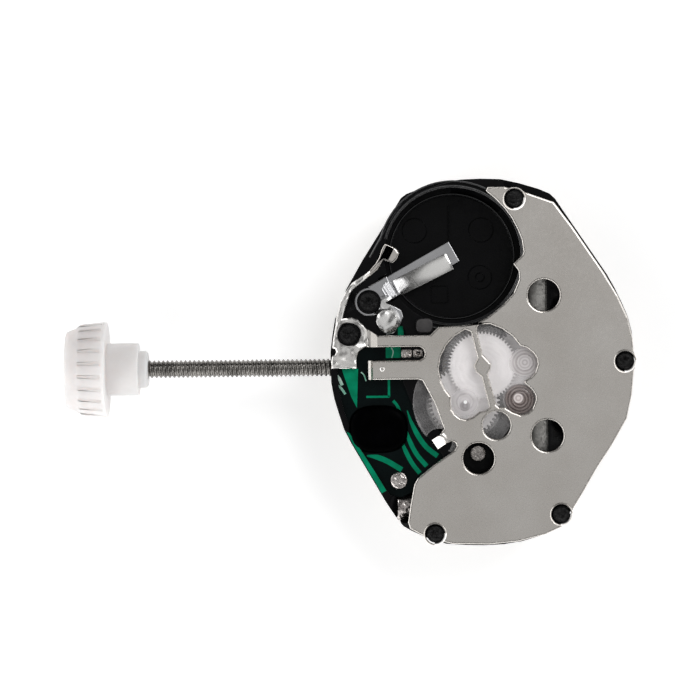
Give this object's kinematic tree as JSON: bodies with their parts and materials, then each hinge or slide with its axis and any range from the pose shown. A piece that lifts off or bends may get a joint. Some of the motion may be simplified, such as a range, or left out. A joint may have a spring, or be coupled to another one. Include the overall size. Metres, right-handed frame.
{
  "type": "quartz watch movement",
  "caption": "Small quartz watch movement, back side up: nickel back plate, empty battery well, circuit board, clear gear train window, long threaded stem and white crown.",
  "frame": {"origin": "hand axis at the dial seat, where the hour hand's pipe leaves the dial side plate", "axes": "+Z from the dial seat to the battery side, -X along the stem towards the crown, +Y towards the battery well"},
  "size_m": [0.0286, 0.0184, 0.0056],
  "materials": {
    "black_plastic": "satin",
    "nickel": "fine brushed nickel",
    "spring_metal": "satin",
    "clear_plastic": "clear, slightly milky",
    "circuit_green": "lacquered",
    "potting": "gloss",
    "steel": "turned",
    "soft_iron": "annealed",
    "magnet": "sintered",
    "copper_wire": "enamelled",
    "grey_plastic": "satin",
    "white_gear": "moulded",
    "brass_gear": "turned",
    "crown_plastic": "milky, moulded"
  },
  "bodies": {
    "movement": {"main_plate": "black_plastic", "dial_side_plate": "nickel", "back_plate": "nickel", "train_bridge": "clear_plastic", "negative_contact": "spring_metal", "circuit_board": "circuit_green", "ic_potting": "potting", "contact_pin": "steel", "guide_pin": "steel", "quartz_crystal": "steel", "stator": "soft_iron", "coil_core": "soft_iron", "coil_bobbin": "grey_plastic", "coil_winding": "copper_wire"},
    "rotor": {"rotor_magnet": "magnet", "rotor_pinion": "white_gear"},
    "fifth": {"fifth_wheel": "white_gear"},
    "seconds": {"seconds_wheel": "white_gear"},
    "third": {"third_wheel": "white_gear"},
    "centre": {"centre_wheel": "grey_plastic"},
    "cannon": {"cannon_pinion": "brass_gear"},
    "hour": {"hour_wheel": "brass_gear"},
    "minute": {"minute_wheel": "brass_gear"},
    "setting": {"setting_wheel": "brass_gear"},
    "clutch_slide": {"clutch_lever": "steel"},
    "clutch": {"clutch_wheel": "steel"},
    "stem_body": {"stem": "steel", "crown": "crown_plastic"},
    "lever": {"setting_lever": "steel"}
  },
  "joints": [
    {"name": "seconds_spin", "type": "hinge", "parent": "movement", "child": "seconds", "pos_m": [0, 0, 0.00228], "axis": [0, 0, 1], "continuous": true},
    {"name": "rotor_spin", "type": "hinge", "parent": "movement", "child": "rotor", "pos_m": [0.00183, -0.00169, 0.00124], "axis": [0, 0, 1], "continuous": true},
    {"name": "fifth_spin", "type": "hinge", "parent": "movement", "child": "fifth", "pos_m": [0.0021, 0.00016, 0.00204], "axis": [0, 0, 1], "continuous": true},
    {"name": "third_spin", "type": "hinge", "parent": "movement", "child": "third", "pos_m": [-0.00092, -0.0018, 0.00204], "axis": [0, 0, 1], "continuous": true},
    {"name": "centre_spin", "type": "hinge", "parent": "movement", "child": "centre", "pos_m": [0, 0, 0.00176], "axis": [0, 0, 1], "continuous": true},
    {"name": "clutch_shift", "type": "slide", "parent": "movement", "child": "clutch_slide", "axis": [-1, 0, 0], "range_m": [0, 0.00025]},
    {"name": "crown_turn", "type": "hinge", "parent": "clutch_slide", "child": "clutch", "pos_m": [-0.0034, 0, 0.00135], "axis": [1, 0, 0], "continuous": true},
    {"name": "stem_push", "type": "slide", "parent": "clutch", "child": "stem_body", "axis": [1, 0, 0], "range_m": [0, 0.00115]},
    {"name": "lever_swing", "type": "hinge", "parent": "movement", "child": "lever", "pos_m": [-0.00543, -0.00154, 0.00197], "axis": [0, 0, -1], "range_deg": [0, 33]},
    {"name": "setting_spin", "type": "hinge", "parent": "movement", "child": "setting", "pos_m": [-0.0022, 0, 0.00068], "axis": [0, 0, 1], "continuous": true},
    {"name": "minute_spin", "type": "hinge", "parent": "movement", "child": "minute", "pos_m": [-0.00081, -0.00183, 0.00066], "axis": [0, 0, 1], "continuous": true},
    {"name": "cannon_spin", "type": "hinge", "parent": "movement", "child": "cannon", "pos_m": [0, 0, 0.0007], "axis": [0, 0, 1], "continuous": true},
    {"name": "hour_spin", "type": "hinge", "parent": "movement", "child": "hour", "pos_m": [0, 0, 0.00036], "axis": [0, 0, 1], "continuous": true}
  ],
  "couplings": [
    {"joint": "fifth_spin", "follows": "seconds_spin", "ratio": -4},
    {"joint": "rotor_spin", "follows": "seconds_spin", "ratio": 30},
    {"joint": "third_spin", "follows": "seconds_spin", "ratio": -0.16667},
    {"joint": "centre_spin", "follows": "seconds_spin", "ratio": 0.016667},
    {"joint": "setting_spin", "follows": "crown_turn", "ratio": -0.8125},
    {"joint": "minute_spin", "follows": "crown_turn", "ratio": 0.43333},
    {"joint": "cannon_spin", "follows": "crown_turn", "ratio": -1.3},
    {"joint": "hour_spin", "follows": "crown_turn", "ratio": -0.10833},
    {"joint": "clutch_shift", "follows": "stem_push", "ratio": 0.21739},
    {"joint": "lever_swing", "follows": "stem_push", "rad_per_m": 495.64}
  ]
}
